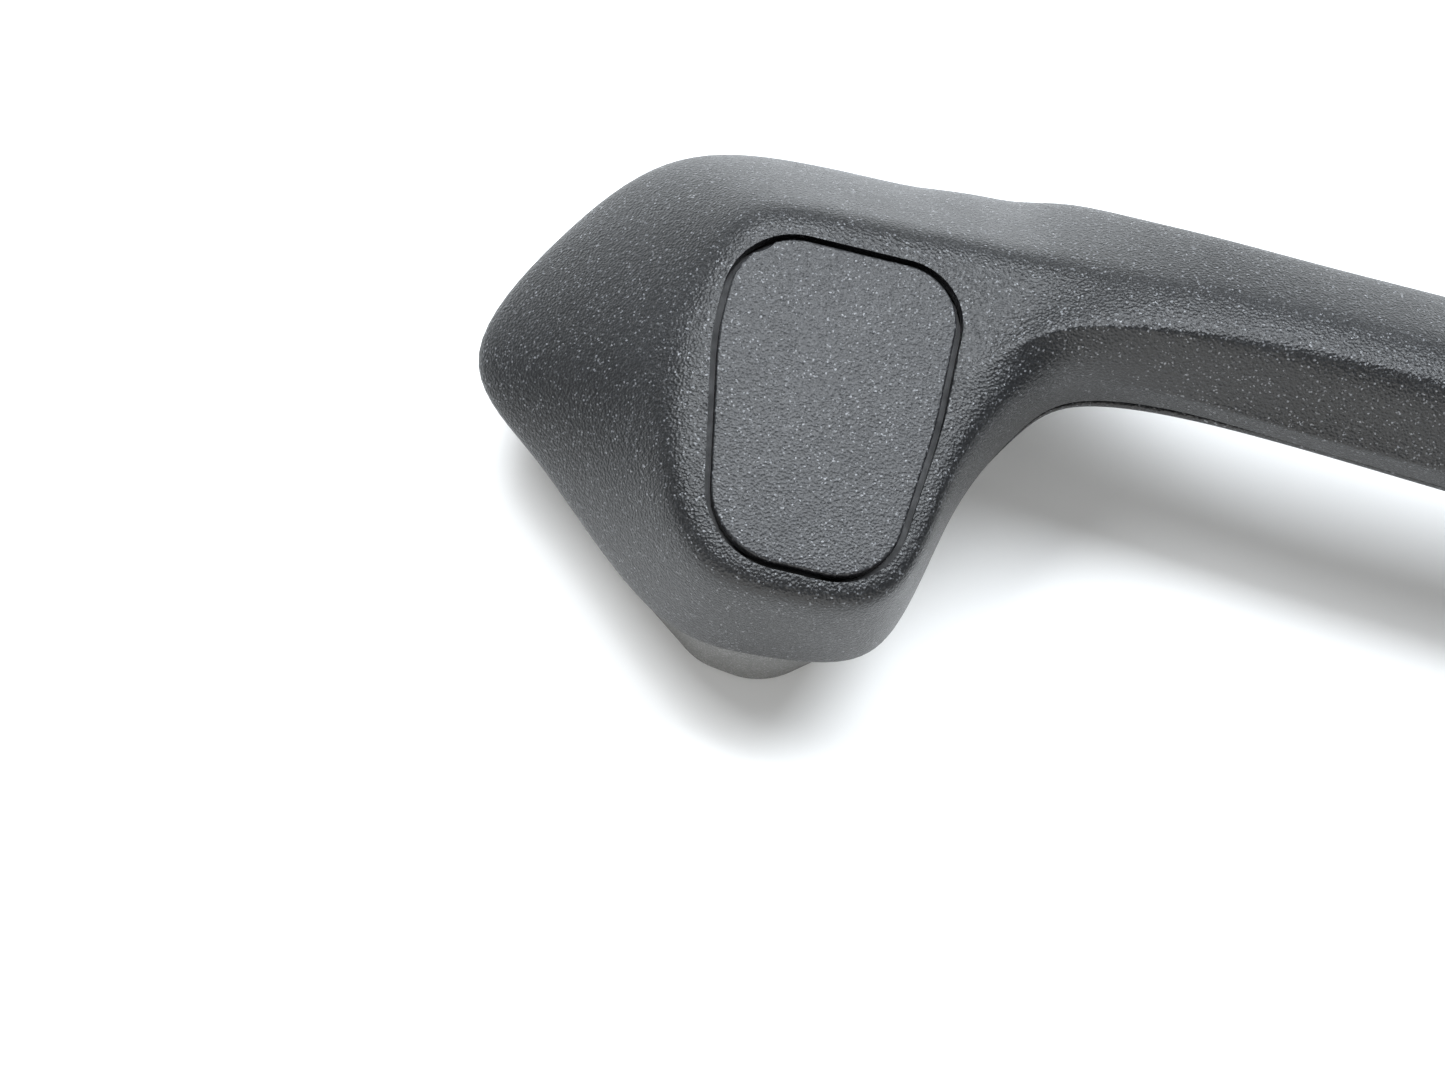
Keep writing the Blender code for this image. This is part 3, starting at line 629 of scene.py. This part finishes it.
def screw_cover(side, word):
    """The snap-in cover: a plate with a softly rounded rim and a slight crown, four legs with barbs and a notch."""
    plate = stack(f"{word}_cover_plate", side, cover_levels(), COVER_PLASTIC)
    cut(plate, notch_cutter(side))
    for u, v, outwards in COVER_LEGS:
        cut(plate, box_solid("leg", place(side, u, v, 35.85), (LEG_THICK, LEG_WIDE, LEG_LONG)), "UNION")
        barb = place(side, u + outwards * (LEG_THICK / 2 + 0.1), v, 34.3)
        cut(plate, box_solid("barb", barb, (BARB_THICK, LEG_WIDE - 1.0, BARB_HIGH), 0.15), "UNION")
    apply_modifiers(plate, SKIN_SMOOTH_ANGLE)
    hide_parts(f"{word}_screw_cover")
    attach(plate, f"{word}_cover")


# Camera, floor and light


CAMERA_TILT, CAMERA_ROLL = 16.5, 16.0
CAMERA_DISTANCE = 0.4225
PAD_RIGHT_OF_MIDDLE, PAD_ABOVE_MIDDLE = 0.01414, 0.01803  # where the left pad lies in the picture, in metres


def camera():
    """Stands over the left pad, tilted back and turned, with a short telephoto lens."""
    tilt, turn = math.radians(CAMERA_TILT), math.radians(CAMERA_ROLL)
    right = Vector((1, 0, 0)) * math.cos(turn) + Vector((0, math.cos(tilt), math.sin(tilt))) * math.sin(turn)
    back = Vector((0, -math.sin(tilt), math.cos(tilt)))
    up = back.cross(right)
    looked_at = mm(-PAD_X, PAD_Y, FRONT_Z) - right * PAD_RIGHT_OF_MIDDLE - up * PAD_ABOVE_MIDDLE
    data = bpy.data.cameras.new("camera")
    data.lens = 80.0
    data.sensor_width = 36.0
    data.clip_start = 0.01
    eye = bpy.data.objects.new("camera", data)
    bpy.context.scene.collection.objects.link(eye)
    pose = Matrix((right, up, back)).transposed().to_4x4()
    pose.translation = looked_at + back * CAMERA_DISTANCE
    eye.matrix_world = pose
    bpy.context.scene.camera = eye


def floor():
    """A wide pale floor just under the handle."""
    f = Finish("pale_floor")
    f.colour(f.mix(f.spread(f.noise(120.0, 4.0), 0.0, 1.0), (0.90, 0.90, 0.89), (0.93, 0.93, 0.925)))
    f.roughness(f.spread(f.noise(30.0, 3.0), 0.55, 0.7))
    f.bump(f.noise(0.8, 2.0), 0.01)
    bm = bmesh.new()
    bmesh.ops.create_grid(bm, x_segments=1, y_segments=1, size=3.0)
    ground = add_object("floor", finished_mesh(bm, "floor"), f.material)
    ground.location = (0, 0, -0.0002)


def softbox(name, where, aim, size, power, colour):
    """A rectangular area light that faces the point aim."""
    data = bpy.data.lights.new(name, "AREA")
    data.shape = "RECTANGLE"
    data.size, data.size_y = size
    data.energy = power
    data.color = colour
    lamp = bpy.data.objects.new(name, data)
    bpy.context.scene.collection.objects.link(lamp)
    lamp.location = where
    lamp.rotation_mode = "QUATERNION"
    lamp.rotation_quaternion = (Vector(where) - Vector(aim)).to_track_quat("Z", "Y")


def light():
    """A pale surround, a large light over the back, a small one for the crest and a low fill from the front."""
    world = bpy.data.worlds.new("studio")
    world.use_nodes = True
    sky = world.node_tree.nodes["Background"]
    sky.inputs["Color"].default_value = (0.95, 0.98, 1.0, 1.0)
    sky.inputs["Strength"].default_value = 0.28
    bpy.context.scene.world = world
    pad = (-0.07, 0.0, 0.03)
    softbox("key_softbox", (-0.05, 0.46, 0.86), pad, (1.0, 0.5), 20.0, (0.9, 0.95, 1.0))
    softbox("crest_softbox", (-0.50, 0.24, 0.85), pad, (0.32, 0.32), 5.5, (0.94, 0.97, 1.0))
    softbox("low_fill", (-0.10, -0.90, 0.30), pad, (1.4, 0.5), 7.0, (1.0, 0.985, 0.96))
    bpy.context.scene.view_settings.view_transform = "Standard"
    bpy.context.scene.view_settings.look = "None"


grip_shell()
back_cover()
for side, word in ((-1, "left"), (1, "right")):
    mounting_base(side, word)
    screw_cover(side, word)

CAD_FINISHES = {
    "steel_core": CORE_STEEL,
    "screw_pocket": NYLON,
    "mounting_bolt": ZINC,
    "bolt_washer": ZINC,
    "compression_sleeve": ZINC,
    "screw_1": DARK_SCREW,
    "screw_2": DARK_SCREW,
    "screw_3": DARK_SCREW,
    "screw_4": DARK_SCREW,
}
for node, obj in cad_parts.items():
    for ending, finish in CAD_FINISHES.items():
        if node.endswith(ending):
            obj.data.materials.clear()
            obj.data.materials.append(finish)
            obj.data.shade_smooth()
            obj.data.set_sharp_from_angle(angle=math.radians(SMOOTH_ANGLE))

camera()
floor()
light()
